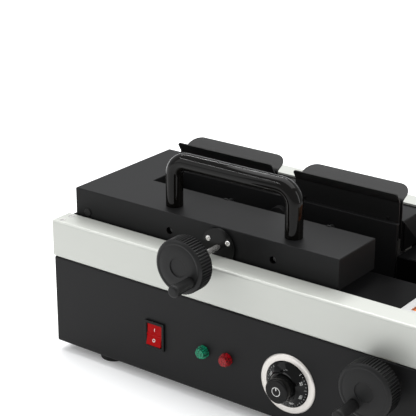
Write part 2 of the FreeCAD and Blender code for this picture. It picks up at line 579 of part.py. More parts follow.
# ---------------------------------------------------------------- cranks
def handwheel(label, across, front, level, grip_across, grip_level):
    """Moulded wheel turned about Y: closed recessed face, ribbed rim, hub behind, bore for its grip pin."""
    radius, face, width = "wheel_radius", "wheel_face", "wheel_width"
    corners = [("0", "hub_recess"), ("hub_ring", "hub_recess"), ("hub_ring", "0"), (face, "0"),
               (f"{radius} - 1", "1.8"),
               (radius, "3"), (radius, f"{width} - 1"), (f"{radius} - 1", width),
               (f"{face} - 1.5", width), (f"{face} - 1.5", f"{width} - 9"), ("hub_radius", f"{width} - 9"),
               ("hub_radius", "hub_length"), ("shaft_radius", "hub_length"), ("shaft_radius", "wheel_web"),
               ("0", "wheel_web")]
    body = turned(label + "_turned", corners)
    smooth = body.Tip.Shape.Volume
    groove = body.newObject("PartDesign::Pocket", label + "_groove")
    support = [item for item in body.Origin.OriginFeatures if item.Role == "XZ_Plane"][0]
    sketch = body.newObject("Sketcher::SketchObject", label + "_groove_outline")
    sketch.AttachmentSupport = [(support, "")]
    sketch.MapMode = "FlatFace"
    sketch.addGeometry(Part.Circle(FreeCAD.Vector(31, 0, 0), FreeCAD.Vector(0, 0, 1), 1), False)
    sketch.addConstraint(Sketcher.Constraint("PointOnObject", 0, 3, -1))
    for kind, arguments, text in (("DistanceX", (-1, 1, 0, 3, 31.0), f"{radius} + 0.3"),
                                  ("Radius", (0, 1.0), "knurl_radius")):
        place = sketch.addConstraint(Sketcher.Constraint(kind, *arguments))
        sketch.renameConstraint(place, kind)
        sketch.setExpression("Constraints." + kind, from_sheet(text))
    groove.Profile = sketch
    groove.Type = 1
    document.recompute()
    ribs = body.newObject("PartDesign::PolarPattern", label + "_ribs")
    ribs.Originals = [groove]
    ribs.Axis = (sketch, ["N_Axis"])
    ribs.Angle = 360
    bind(ribs, Occurrences="knurl_count")
    body.Tip = ribs
    document.recompute()
    if not groove.Shape.Volume < smooth or not ribs.Shape.Volume < groove.Shape.Volume:
        raise RuntimeError(label + ": the ribs were not cut")
    put(body, across, front, level)
    pin_hole = rod(label + "_pin_hole", "y", (grip_across, f"{front} - 2", grip_level), "pin_radius", "12")
    return node(cut(label + "_drilled", body, [pin_hole]), label)


def grip(label, across, front, level):
    """Revolving grip, and the shouldered pin on which it turns."""
    end = f"{front} - grip_gap"
    body = turned(label + "_turned", [("pin_radius + running_gap", "2.5"), ("pin_radius + running_gap",
                  "grip_length"), ("grip_radius - 0.4", "grip_length"), ("grip_radius - 0.8", "16"),
                  ("grip_radius", "2"), ("grip_radius - 1.2", "0"), ("0", "0"), ("0", "2.5")])
    node(put(body, across, f"{end} - grip_length", level), label)
    pin = rod(label + "_pin_rod", "y", (across, f"{end} - grip_length + 3", level), "pin_radius",
              "grip_length + 6")
    node(pin, label + "_pin")


def cranks():
    upper = ("press_crank_across", "press_wheel_front", "press_crank_level")
    upper_grip = ("press_crank_across + 15", "press_crank_level - 11.8")
    lower = ("lift_crank_across", "lift_wheel_front", "lift_crank_level")
    lower_grip = ("lift_crank_across - 10.5", "lift_crank_level - 15.8")
    handwheel("press_handwheel", *upper, *upper_grip)
    handwheel("lift_handwheel", *lower, *lower_grip)
    grip("press_grip", upper_grip[0], upper[1], upper_grip[1])
    grip("lift_grip", lower_grip[0], lower[1], lower_grip[1])
    start = f"{upper[1]} + wheel_web"
    node(rod("screw_rod", "y", (upper[0], start, upper[2]), "shaft_radius", f"plate_front - 3 - ({start})"),
         "lead_screw")
    start = f"{lower[1]} + wheel_web"
    node(rod("lift_rod", "y", (lower[0], start, lower[2]), "shaft_radius",
             f"{SLOT_MIDDLE} + gear_width / 2 + 14 - ({start})"), "lift_shaft")
    flange = rod("lift_flange", "y", (lower[0], f"{FRONT_WALL} - 3", lower[2]), "13", "3")
    sleeve = rod("lift_sleeve", "y", (lower[0], f"{FRONT_WALL} - 3", lower[2]), "shaft_radius + 4", "18")
    bore = rod("lift_bore", "y", (lower[0], f"{FRONT_WALL} - 20", lower[2]), "shaft_radius + running_gap", "60")
    node(cut("lift_bush", join("lift_bush_joined", [flange, sleeve]), [bore]), "lift_bearing")


# ---------------------------------------------------------------- sheet lift
def gear_tooth(name, root, tip, base_width, tip_width, length):
    """One straight-sided tooth standing along +Z of its own frame, padded along Y."""
    body = document.addObject("PartDesign::Body", name)
    pad = body.newObject("PartDesign::Pad", name + "_pad")
    pad.Profile = polygon(body, name + "_outline", "XZ_Plane",
                          [(f"-({base_width}) / 2", root), (f"({base_width}) / 2", root),
                           (f"({tip_width}) / 2", tip), (f"-({tip_width}) / 2", tip)])
    pad.Reversed = True
    bind(pad, Length=length)
    return body


def lift_gear():
    """Sixteen-tooth pinion on the lift shaft and the rack that it drives, in mesh at rest."""
    start = f"{SLOT_MIDDLE} - gear_width / 2"
    pitch_radius = "gear_module * gear_teeth / 2"
    place = ("lift_crank_across", start, "lift_crank_level")
    core = rod("pinion_core", "y", place, f"{pitch_radius} - 1.3 * gear_module", "gear_width")
    teeth = [core]
    count = int(SIZES["gear_teeth"])
    for i in range(count):
        tooth = gear_tooth(f"pinion_tooth_{i}", f"{pitch_radius} - 1.5 * gear_module",
                           f"{pitch_radius} + 0.85 * gear_module", "2.1 * gear_module", "0.7 * gear_module",
                           "gear_width")
        turn = FreeCAD.Rotation(FreeCAD.Vector(0, 1, 0), 360 * (i + 0.5) / count - 90)
        teeth.append(put(tooth, *place, turn=turn))
    bore = rod("pinion_bore", "y", ("lift_crank_across", f"{start} - 5", "lift_crank_level"),
               "shaft_radius", "gear_width + 10")
    node(cut("pinion", join("pinion_joined", teeth), [bore]), "lift_pinion")

    pitch_line = f"lift_crank_across - {pitch_radius}"
    low, high = "lift_crank_level - 54", "lift_crank_level + 9"
    bar = block("rack_bar", (f"{pitch_line} - 10", start, low),
                (f"{pitch_line} - 1.35 * gear_module", f"{start} + gear_width", high))
    rack = [bar]
    circular_pitch = 3.14159265
    for i in range(-8, 2):
        tooth = gear_tooth(f"rack_tooth_{i + 8}", "-1.6 * gear_module", "0.8 * gear_module",
                           "2.2 * gear_module", "0.75 * gear_module", "gear_width")
        turn = FreeCAD.Rotation(FreeCAD.Vector(0, 1, 0), 90)
        rack.append(put(tooth, pitch_line, start, f"lift_crank_level + {i} * {circular_pitch} * gear_module",
                        turn=turn))
    node(join("rack", rack), "lift_rack")


def lift_blade():
    """Thin blade that stands in the baking gap, its two guide sleeves, and their hanging posts."""
    thin = f"{SLOT_MIDDLE} - blade_sheet / 2"
    bottom = "blade_top - blade_tall"
    rack_left = "lift_crank_across - gear_module * gear_teeth / 2 - 10"
    blade = block("blade", ("left_post - 6", thin, bottom), (rack_left, f"{thin} + blade_sheet", "blade_top"))
    sleeves, holes, posts = [], [], []
    for side in ("left_post", "right_post"):
        sleeves.append(rod(side + "_sleeve", "z", (side, SLOT_MIDDLE, bottom), "post_radius + 3", "blade_tall"))
        holes.append(rod(side + "_sleeve_bore", "z", (side, SLOT_MIDDLE, f"{bottom} - 5"),
                         "post_radius + running_gap", "blade_tall + 10"))
        posts.append(rod(side + "_bar", "z", (side, SLOT_MIDDLE, "40"), "post_radius", f"{DECK_UNDER} - 40"))
    node(cut("blade_bored", join("blade_joined", [blade] + sleeves), holes), "lift_blade")
    node(join("post_group", posts), "lift_posts")


def lift_bracket():
    """Upright on the bottom plate that carries the inner end of the lift shaft."""
    start = f"{SLOT_MIDDLE} + gear_width / 2 + 6"
    floor = "foot_height + base_sheet"
    upright = block("bracket_upright", ("lift_crank_across - 14", start, floor),
                    ("lift_crank_across + 14", f"{start} + 5", "lift_crank_level + 14"))
    foot = block("bracket_foot", ("lift_crank_across - 14", start, floor),
                 ("lift_crank_across + 14", f"{start} + 30", f"{floor} + 3"))
    bore = rod("bracket_bore", "y", ("lift_crank_across", f"{start} - 5", "lift_crank_level"),
               "shaft_radius + running_gap", "20")
    node(cut("bracket", join("bracket_joined", [upright, foot]), [bore]), "lift_bracket")


# ---------------------------------------------------------------- controls and wiring
def power_switch():
    """Snap-in switch body with a raised black surround, and the red rocker on its pivot pins in it."""
    half_wide, half_tall = "switch_width / 2", "switch_tall / 2"
    frame = block("switch_frame", (f"switch_across - {half_wide}", f"{FRONT_WALL} - 2.5",
                                   f"control_level - {half_tall}"),
                  (f"switch_across + {half_wide}", FRONT_WALL, f"control_level + {half_tall}"))
    case = block("switch_case", (f"switch_across - {half_wide} + 1.5", FRONT_WALL,
                                 f"control_level - {half_tall} + 1.5"),
                 (f"switch_across + {half_wide} - 1.5", f"{FRONT_WALL} + 24",
                  f"control_level + {half_tall} - 1.5"))
    mouth = block("switch_mouth", (f"switch_across - {half_wide} + 3", f"{FRONT_WALL} - 5",
                                   f"control_level - {half_tall} + 3"),
                  (f"switch_across + {half_wide} - 3", f"{FRONT_WALL} + 10",
                   f"control_level + {half_tall} - 3"))
    node(cut("switch", join("switch_joined", [frame, case]), [mouth]), "switch_body")
    outline = [("5", "-9.5"), ("5", "9.5"), ("-2.6", "11.6"), ("-1.4", "0"), ("-2.6", "-11.6")]
    rocker = padded("rocker", "YZ_Plane", outline, "switch_width - 7")
    tilt = FreeCAD.Rotation(FreeCAD.Vector(1, 0, 0), -7)
    put(rocker, "switch_across - switch_width / 2 + 3.5", FRONT_WALL, "control_level", turn=tilt)
    pivot = rod("rocker_pivot", "x", ("switch_across - switch_width / 2 + 3.1", FRONT_WALL, "control_level"),
                "2", "switch_width - 6.2")
    node(join("rocker_on_pivot", [rocker, pivot]), "power_rocker")


def pilot_lamp(label, across):
    """Stepped coloured lens on a threaded body that passes through the base front."""
    rings = [("0", "-8"), ("lamp_radius - 2.3", "-8"), ("lamp_radius - 1.5", "-7.2"),
             ("lamp_radius - 1.5", "-5.6"), ("lamp_radius - 0.8", "-5.6"), ("lamp_radius - 0.8", "-3.6"),
             ("lamp_radius - 0.3", "-3.6"), ("lamp_radius - 0.3", "-1.8"), ("lamp_radius", "-1.8"),
             ("lamp_radius", "0"), ("lamp_body", "0"), ("lamp_body", "22"), ("0", "22")]
    node(put(turned(label + "_turned", rings), across, FRONT_WALL, "control_level"), label)


def thermostat():
    place = ("dial_across", FRONT_WALL, "dial_level")
    ring = turned("dial_ring_turned", [("dial_bore", "0"), ("dial_bore", "-dial_sheet"),
                                       ("dial_ring - 1.2", "-dial_sheet"), ("dial_ring", "-0.8"),
                                       ("dial_ring", "0")])
    node(put(ring, *place), "dial_bezel")
    skirt_front = "-1 - skirt_depth"
    skirt = turned("skirt_turned", [("dial_shaft", "-1"), ("skirt_radius", "-1"), ("skirt_radius", "-2.2"),
                                    ("knob_radius + 1.5", skirt_front), ("dial_shaft", skirt_front)])
    put(skirt, *place)
    shaft = rod("dial_rod", "y", ("dial_across", f"{FRONT_WALL} + {skirt_front}", "dial_level"), "dial_shaft",
                "skirt_depth + 8")
    node(join("skirt_on_shaft", [skirt, shaft]), "dial_skirt")
    knob = turned("knob_turned", [("0", f"{skirt_front} - knob_length"),
                                  ("knob_radius - 1.2", f"{skirt_front} - knob_length"),
                                  ("knob_radius", f"{skirt_front} - knob_length + 1.2"),
                                  ("knob_radius", skirt_front), ("0", skirt_front)])
    node(put(knob, *place), "dial_knob")
    box = block("dial_box", ("dial_across - 19", f"{FRONT_WALL} + base_sheet", "dial_level - 19"),
                ("dial_across + 19", f"{FRONT_WALL} + base_sheet + 30", "dial_level + 19"))
    socket = rod("dial_socket", "y", ("dial_across", f"{FRONT_WALL} - 2", "dial_level"),
                 "dial_shaft + running_gap", "12")
    node(cut("dial_body", box, [socket]), "thermostat_body")


def wiring():
    floor = "foot_height + base_sheet"
    base = block("terminal_base", ("-175", "105", floor), ("-115", "127", f"{floor} + 18"))
    steps = [block(f"terminal_slot_{i}", (f"-173 + {i} * 10", "104", f"{floor} + 10"),
                   (f"-165 + {i} * 10", "110", f"{floor} + 19")) for i in range(6)]
    node(cut("terminal", base, steps), "terminal_block")
    rear = REAR_WALL
    collar = rod("gland_collar", "y", ("-foot_across", rear, "40"), "12", "5")
    nose = cone("gland_nose", "y", ("-foot_across", f"{rear} + 5", "40"), "9.5", "7", "11.8")
    stem = rod("gland_stem", "y", ("-foot_across", f"{rear} - 12", "40"), "8", "12")
    bore = rod("gland_bore", "y", ("-foot_across", f"{rear} - 20", "40"), "4", "40")
    node(cut("gland", join("gland_joined", [collar, nose, stem]), [bore]), "cable_gland")


# ---------------------------------------------------------------- catch tray and forming bay
def catch_tray():
    """Crumb tray under the baking gap; it slides out through the left end of the base."""
    outer_end = f"-({SIDE})"
    wall = "tray_sheet"
    pan = block("tray_pan", (outer_end, "tray_front", "tray_bottom"),
                ("tray_right", "tray_back", "tray_bottom + tray_tall"))
    hollow = block("tray_hollow", (f"{outer_end} + 2", f"tray_front + {wall}", f"tray_bottom + {wall}"),
                   (f"tray_right - {wall}", f"tray_back - {wall}", "tray_bottom + tray_tall + 5"))
    face = block("tray_face", (outer_end, "tray_front - 1", "tray_bottom - 1"),
                 (f"{outer_end} + 1.4", "tray_back + 1", "tray_bottom + tray_tall + 3.5"))
    pull = block("tray_pull", (f"{outer_end} - 3", "0", "tray_bottom + 6"),
                 (f"{outer_end} + 1", "30", "tray_bottom + 14"))
    node(cut("tray", join("tray_joined", [cut("tray_bent", pan, [hollow]), face]), [pull]), "catch_tray")


def forming_bay():
    """Steel bay at the right end with a sunk tray, the soft cradle in it, and the rolling mandrel."""
    wall = "recess_sheet"
    plate = block("bay_plate", ("bay_left", "front_face + 2.2", DECK_UNDER),
                  ("bay_right", "rear_face - 2.2", DECK_TOP))
    pan = block("bay_pan", ("recess_left", "recess_front", "recess_floor"),
                ("recess_right", "recess_back", DECK_UNDER))
    hollow = block("bay_hollow", (f"recess_left + {wall}", f"recess_front + {wall}", f"recess_floor + {wall}"),
                   (f"recess_right - {wall}", f"recess_back - {wall}", f"{DECK_TOP} + 5"))
    node(cut("bay", join("bay_joined", [plate, pan]), [hollow] + clearance_holes("bay", "2.2")),
         "forming_tray")

    gap = "cradle_gap"
    bed = block("bed", (f"recess_left + {wall} + {gap}", f"recess_front + {wall} + {gap}",
                        f"recess_floor + {wall}"),
                (f"recess_right - {wall} - {gap}", f"recess_back - {wall} - {gap}", "cone_level - 6"))
    mould = cone("bed_mould", "y", ("cone_across", f"cone_tip - {gap}", "cone_level"),
                 f"cone_tip_radius + {gap}", f"cone_radius + {gap}", f"cone_mouth - cone_tip + 2 * {gap}")
    rest = rod("bed_rest", "y", ("cone_across", "cone_mouth", "cone_level"), f"stick_radius + {gap}", "110")
    fingers = block("bed_fingers", ("cone_across - 26", "60", "cone_level - 20"),
                    ("cone_across + 26", "112", "cone_level + 5"))
    node(cut("cradle", bed, [mould, rest, fingers]), "forming_cradle")
    form = cone("mandrel_cone", "y", ("cone_across", "cone_tip", "cone_level"), "cone_tip_radius",
                "cone_radius", "cone_mouth - cone_tip")
    stick = rod("mandrel_stick", "y", ("cone_across", "cone_mouth", "cone_level"), "stick_radius",
                "stick_end - cone_mouth")
    node(join("mandrel", [form, stick]), "cone_mandrel")


base_shell()
bottom_plate()
feet()
rail("front_rail", "front_face", "+")
rail("rear_rail", "rear_face", "-")
end_plate("left_end_plate", "-")
end_plate("right_end_plate", "")
rail_screws()
deck()
channel_trough()
head_cover()
head_details()
bow_handle()
handle_screws()
crank_flange()
rear_platen()
press_carriage()
chutes()
cranks()
lift_gear()
lift_blade()
lift_bracket()
power_switch()
pilot_lamp("green_lamp", "green_across")
pilot_lamp("red_lamp", "red_across")
thermostat()
wiring()
catch_tray()
forming_bay()

# ---------------------------------------------------------------- check and write
document.recompute()
for item in document.Objects:
    if "Invalid" in item.State or "Error" in item.State:
        raise RuntimeError(f"{item.Label} failed: {item.State}")
for item in nodes:
    if item.Shape.isNull() or not item.Shape.isValid() or not item.Shape.Solids:
        raise RuntimeError(f"{item.Label} has no valid solid")
os.makedirs("parts", exist_ok=True)
for item in nodes:
    item.Shape.exportStep(f"parts/{item.Label}.step")
whole = Part.makeCompound([item.Shape for item in nodes]).BoundBox
print(f"{len(nodes)} nodes; x {whole.XMin:.2f} {whole.XMax:.2f}  y {whole.YMin:.2f} {whole.YMax:.2f}"
      f"  z {whole.ZMin:.2f} {whole.ZMax:.2f}")
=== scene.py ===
import json
import math

import bmesh
import bpy
from mathutils import Matrix, Vector

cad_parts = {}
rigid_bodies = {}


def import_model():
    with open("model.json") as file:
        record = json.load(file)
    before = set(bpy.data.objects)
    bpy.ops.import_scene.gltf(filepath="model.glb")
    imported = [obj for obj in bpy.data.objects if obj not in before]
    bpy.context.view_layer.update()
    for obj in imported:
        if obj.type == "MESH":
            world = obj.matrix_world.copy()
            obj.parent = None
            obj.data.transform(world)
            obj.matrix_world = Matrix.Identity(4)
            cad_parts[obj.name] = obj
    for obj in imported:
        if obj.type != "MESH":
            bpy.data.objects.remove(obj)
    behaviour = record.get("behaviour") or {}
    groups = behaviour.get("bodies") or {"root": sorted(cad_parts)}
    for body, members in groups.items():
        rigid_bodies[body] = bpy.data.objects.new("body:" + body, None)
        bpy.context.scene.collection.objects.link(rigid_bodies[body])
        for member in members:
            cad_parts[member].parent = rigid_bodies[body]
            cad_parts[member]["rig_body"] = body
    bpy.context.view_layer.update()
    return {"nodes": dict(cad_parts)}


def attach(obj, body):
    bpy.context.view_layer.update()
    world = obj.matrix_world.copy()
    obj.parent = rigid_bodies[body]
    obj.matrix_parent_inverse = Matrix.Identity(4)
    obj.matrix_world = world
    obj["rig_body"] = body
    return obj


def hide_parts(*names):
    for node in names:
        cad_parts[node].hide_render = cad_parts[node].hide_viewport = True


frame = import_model()
nodes = frame["nodes"]

# ---------------------------------------------------------------- camera, floor and light
# A long lens looks down on the machine from its right front corner.
# The floor is a wide pale sheet.  Large soft boxes keep the bright rails even and show the edges of
# the black sheet metal, and two narrow tubes draw streaks on the gloss.
scene = bpy.context.scene
scene.view_settings.view_transform = "Standard"

lens = bpy.data.cameras.new("camera")
lens.lens = 119.0
lens.clip_end = 30.0
camera = bpy.data.objects.new("camera", lens)
camera.location = (0.7005, -1.125, 0.694)
camera.rotation_euler = Vector((-0.559, 0.748, -0.358)).to_track_quat("-Z", "Y").to_euler()
scene.collection.objects.link(camera)
scene.camera = camera

world = bpy.data.worlds.new("studio")
world.use_nodes = True
world.node_tree.nodes["Background"].inputs["Color"].default_value = (0.96, 0.98, 1.0, 1)
world.node_tree.nodes["Background"].inputs["Strength"].default_value = 0.62
scene.world = world


def soft_box(name, place, aim, width, depth, watts):
    """A rectangular area light at place, turned towards aim."""
    lamp = bpy.data.lights.new(name, "AREA")
    lamp.shape = "RECTANGLE"
    lamp.size, lamp.size_y, lamp.energy = width, depth, watts
    holder = bpy.data.objects.new(name, lamp)
    holder.location = place
    holder.rotation_euler = (Vector(aim) - Vector(place)).to_track_quat("-Z", "Y").to_euler()
    scene.collection.objects.link(holder)


soft_box("overhead", (0.0, 0.35, 1.9), (0, 0.05, 0.1), 2.4, 1.8, 46)
soft_box("front_left", (-1.5, -1.6, 0.9), (0, 0, 0.1), 0.9, 1.4, 5)
soft_box("right_strip", (1.7, 0.3, 0.8), (0, 0, 0.12), 0.5, 1.4, 9)
soft_box("rear_tube", (-1.0, 0.9, 1.5), (-0.1, 0, 0.2), 1.6, 0.03, 10)
soft_box("front_tube", (-1.2, -1.2, 1.5), (-0.1, -0.1, 0.2), 1.6, 0.03, 8)


class Value:
    """One shader value; sums and products with numbers or other values add their Math nodes."""

    def __init__(self, finish, socket):
        self.finish, self.socket = finish, socket

    def maths(self, operation, first, second=None):
        sockets = {0: first} if second is None else {0: first, 1: second}
        return self.finish.add("ShaderNodeMath", {"operation": operation}, sockets)

    def __add__(self, other):
        return self.maths("ADD", self, other)

    def __sub__(self, other):
        return self.maths("SUBTRACT", self, other)

    def __mul__(self, other):
        return self.maths("MULTIPLY", self, other)

    __radd__, __rmul__ = __add__, __mul__


class Finish:
    """A material under construction: add() puts in nodes, surface() feeds the shader's sockets."""

    def __init__(self, name):
        self.material = bpy.data.materials.new(name)
        self.material.use_nodes = True
        self.tree = self.material.node_tree
        self.shader = self.tree.nodes["Principled BSDF"]

    def add(self, kind, settings=None, sockets=None, output=0):
        """One node: its settings first, then the values or links of its sockets."""
        made = self.tree.nodes.new(kind)
        for name, setting in (settings or {}).items():
            if name == "stops":
                ramp = made.color_ramp.elements
                while len(ramp) < len(setting):
                    ramp.new(0.5)
                for stop, (position, level) in zip(ramp, setting):
                    stop.position, stop.color = position, (level, level, level, 1)
            else:
                setattr(made, name, setting)
        for name, given in (sockets or {}).items():
            self.feed(made.inputs[name], given)
        return Value(self, made.outputs[output])

    def feed(self, socket, given):
        if isinstance(given, Value):
            self.tree.links.new(given.socket, socket)
        elif isinstance(given, tuple) and len(given) == 3 and socket.type == "RGBA":
            socket.default_value = (*given, 1)
        else:
            socket.default_value = given

    def place(self):
        """The point being shaded, in metres in the machine's own frame."""
        return self.add("ShaderNodeTexCoord", output="Object")

    def noise(self, scale, detail=2.0, stretch=(1, 1, 1), roughness=0.5):
        where = self.add("ShaderNodeMapping", sockets={"Vector": self.place(), "Scale": stretch})
        return self.add("ShaderNodeTexNoise", sockets={"Vector": where, "Scale": scale, "Detail": detail,
                                                       "Roughness": roughness})

    def ramp(self, value, *stops):
        return self.add("ShaderNodeValToRGB", {"stops": stops}, {"Fac": value})

    def mix(self, factor, first, second):
        return self.add("ShaderNodeMix", {"data_type": "RGBA"}, {0: factor, 6: first, 7: second}, output=2)

    def bump(self, height, distance, strength=1.0):
        return self.add("ShaderNodeBump", sockets={"Height": height, "Distance": distance,
                                                   "Strength": strength})

    def surface(self, **sockets):
        for name, given in sockets.items():
            self.feed(self.shader.inputs[name.replace("_", " ")], given)
        return self


floor_finish = Finish("pale_floor")
floor_tone = floor_finish.mix(floor_finish.noise(3.0), (0.93, 0.93, 0.93), (0.95, 0.95, 0.95))
floor_finish.surface(Base_Color=floor_tone, Roughness=0.6, Specular_IOR_Level=0.1,
                     Emission_Color=(1.0, 1.0, 1.0), Emission_Strength=0.16)
floor_mesh = bpy.data.meshes.new("floor")
floor_mesh.from_pydata([(-9, -5, 0), (9, -5, 0), (9, 14, 0), (-9, 14, 0)], [], [(0, 1, 2, 3)])
floor_mesh.materials.append(floor_finish.material)
floor = bpy.data.objects.new("floor", floor_mesh)
scene.collection.objects.link(floor)


# ---------------------------------------------------------------- painted base, decks and head
# Folded mild-steel sheet, powder coated in a fine matte black: the base box, its floor, the decks,
# the C-shaped head, the end plates and the press plate.  Each but the floor is the sheet with its folds
# eased.
def powder_coat(name, tone, roughness, shine):
    """Matte black powder coat: fine grain in relief, a faint cloud in its tone, slightly worn gloss."""
    coat = Finish(name)
    grain = coat.noise(1500, 3.0)
    cloud = coat.noise(9, 2.0)
    dust = coat.ramp(coat.noise(420, 2.0, roughness=0.7), (0.62, 0.0), (0.80, 1.0))
    dark = tuple(part * 0.85 for part in tone)
    light = tuple(part * 1.15 for part in tone)
    pale = tuple(part * 1.7 + 0.002 for part in tone)
    coat.surface(Base_Color=coat.mix(dust * 0.25, coat.mix(cloud, dark, light), pale),
                 Roughness=roughness + 0.12 * (grain - 0.5) + 0.08 * (cloud - 0.5),
                 Normal=coat.bump(grain, 0.00005, 0.4), Specular_IOR_Level=shine)
    return coat.material


def wear(piece, material):
    """Give every face of a piece or node one material."""
    piece.data.materials.clear()
    piece.data.materials.append(material)
    return piece


def new_piece(name, mesh, body, slot, material, *stands_for):
    """A visible piece made of mesh: it rides on a body and may stand for nodes; slot is not used."""
    piece = bpy.data.objects.new(name, mesh)
    scene.collection.objects.link(piece)
    wear(piece, material)
    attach(piece, body)
    if stands_for:
        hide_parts(*stands_for)
    return piece


def body_of(node):
    return nodes[node]["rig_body"]


def eased(node, edge, slot, material, segments=2, angle=35, fold=0.0, folded=None):
    """The CAD sheet or block with its sharp edges rounded by edge, standing for that node.

    Edges that folded() accepts by their two end points are first rounded by fold."""
    mesh = nodes[node].data.copy()
    work = bmesh.new()
    work.from_mesh(mesh)
    bmesh.ops.remove_doubles(work, verts=work.verts, dist=0.00001)
    bmesh.ops.dissolve_limit(work, angle_limit=math.radians(0.6), verts=work.verts, edges=work.edges)
    if folded:
        bends = [side for side in work.edges if folded(side.verts[0].co, side.verts[1].co)]
        bmesh.ops.bevel(work, geom=bends, offset=fold, segments=5, profile=0.5, affect="EDGES")
    work.to_mesh(mesh)
    work.free()
    mesh.shade_smooth()
    piece = new_piece(node + "_eased", mesh, body_of(node), slot, material, node)
    rounding = piece.modifiers.new("rounding", "BEVEL")
    rounding.width, rounding.segments = edge, segments
    rounding.limit_method, rounding.angle_limit = "ANGLE", math.radians(angle)
    rounding.miter_outer = "MITER_ARC"
    piece.modifiers.new("flat_faces", "WEIGHTED_NORMAL").weight = 100
    return piece


base_coat = powder_coat("base_powder_coat", (0.0085, 0.0085, 0.0088), 0.48, 0.13)
head_coat = powder_coat("head_powder_coat", (0.0085, 0.0085, 0.0087), 0.44, 0.11)
# The decks, trough, end gusset and lift bracket sit down in the machine's recess. They take a darker, duller
# copy of the same powder coat: painted shade.
shaded_deck_coat = powder_coat("deck_powder_coat_painted_shade", (0.0022, 0.0022, 0.0023), 0.34, 0.03)

# The base box: half its length, the depths of its front and rear sheets, and its top.
base_half, front_wall, rear_wall, base_top = 0.2552, -0.1247, 0.1747, 0.112


def base_fold(*ends):
    """True for the box's four upright, four top and two long lower outer edges."""
    outer = []
    for end in ends:
        gaps = {"end": abs(abs(end.x) - base_half), "front": abs(end.y - front_wall),
                "rear": abs(end.y - rear_wall), "top": abs(end.z - base_top)}
        outer.append({name for name, gap in gaps.items() if gap < 0.0001})
    return len(outer[0] & outer[1]) >= 2


eased("base_shell", 0.0004, "powder_black", base_coat, fold=0.0021, folded=base_fold)
eased("head_cover", 0.0007, "powder_black", head_coat)
eased("end_gusset", 0.0004, "powder_black", shaded_deck_coat)
eased("press_plate", 0.0006, "powder_black", head_coat)
eased("left_end_plate", 0.0004, "powder_black", base_coat)
eased("right_end_plate", 0.0004, "powder_black", base_coat)
eased("front_deck", 0.0004, "powder_black", shaded_deck_coat)
eased("rear_deck", 0.0004, "powder_black", shaded_deck_coat)
eased("channel_trough", 0.0003, "powder_black", shaded_deck_coat)
wear(nodes["bottom_plate"], base_coat)


# ---------------------------------------------------------------- bright rails
# Two folded aluminium channels that edge the deck, satin anodised, with the grain drawn along their
# length.  Eight slotted countersunk screws hold them, through the deck, to the end plates.
def drawn_metal(name, tone, roughness, along=(1, 22, 22), metallic=0.9):
    """Satin metal with a fine grain drawn along one axis and faint handling marks."""
    metal = Finish(name)
    grain = metal.noise(260, 4.0, along, 0.65)
    smear = metal.noise(14, 3.0)
    darker = tuple(part * 0.92 for part in tone)
    metal.surface(Base_Color=metal.mix(grain * 0.6 + smear * 0.4, darker, tone), Metallic=metallic,
                  Roughness=roughness + 0.14 * (grain - 0.5) + 0.10 * (smear - 0.5),
                  Normal=metal.bump(grain, 0.00002, 0.35))
    return metal.material


rail_metal = drawn_metal("satin_rail", (0.475, 0.485, 0.452), 0.42, metallic=0.3)
bright_steel = drawn_metal("bright_steel", (0.80, 0.785, 0.76), 0.24, (22, 1, 22), 0.8)
eased("front_rail", 0.0006, "rail_metal", rail_metal)
eased("rear_rail", 0.0006, "rail_metal", rail_metal)
eased("rail_screws", 0.00025, "bright_steel", bright_steel)


# ---------------------------------------------------------------- bow handle
# One round bar bent down at both ends, stove-enamelled in gloss black and standing on the head.
# Two screws come up through the head sheet into its legs.
def moulded(name, tone, roughness, shine, grain_size=900, relief=0.00003):
    """Moulded plastic, rubber or enamel: even colour with slight flow marks and a fine skin."""
    skin = Finish(name)
    grain = skin.noise(grain_size, 2.0)
    flow = skin.noise(28, 3.0, roughness=0.6)
    darker = tuple(part * 0.86 for part in tone)
    skin.surface(Base_Color=skin.mix(flow, darker, tone),
                 Roughness=roughness + 0.08 * (grain - 0.5) + 0.10 * (flow - 0.5),
                 Normal=skin.bump(grain, relief, 0.35), Specular_IOR_Level=shine)
    return skin.material


def faced(name, rings, closed=False, smooth=38):
    """A mesh from rings of points of equal length; a ring of one point closes an end."""
    work = bmesh.new()
    made = [[work.verts.new(point) for point in ring] for ring in rings]
    pairs = list(zip(made, made[1:])) + ([(made[-1], made[0])] if closed else [])
    for first, second in pairs:
        count = max(len(first), len(second))
        for i in range(count):
            corners = [first[i % len(first)], first[(i + 1) % len(first)],
                       second[(i + 1) % len(second)], second[i % len(second)]]
            corners = [corner for k, corner in enumerate(corners) if corner not in corners[:k]]
            work.faces.new(corners)
    if not closed:
        for ring in (made[0], made[-1]):
            if len(ring) > 2:
                work.faces.new(ring)
    bmesh.ops.recalc_face_normals(work, faces=work.faces)
    for face in work.faces:
        face.smooth = True
    for edge in work.edges:
        edge.smooth = len(edge.link_faces) == 2 and edge.calc_face_angle(0) < math.radians(smooth)
    mesh = bpy.data.meshes.new(name)
    work.to_mesh(mesh)
    work.free()
    return mesh


def arc(centre, radius, first, last, steps):
    """Points on a circle in a plane, from one angle to another in degrees."""
    return [(centre[0] + radius * math.cos(math.radians(first + (last - first) * i / steps)),
             centre[1] + radius * math.sin(math.radians(first + (last - first) * i / steps)))
            for i in range(steps + 1)]


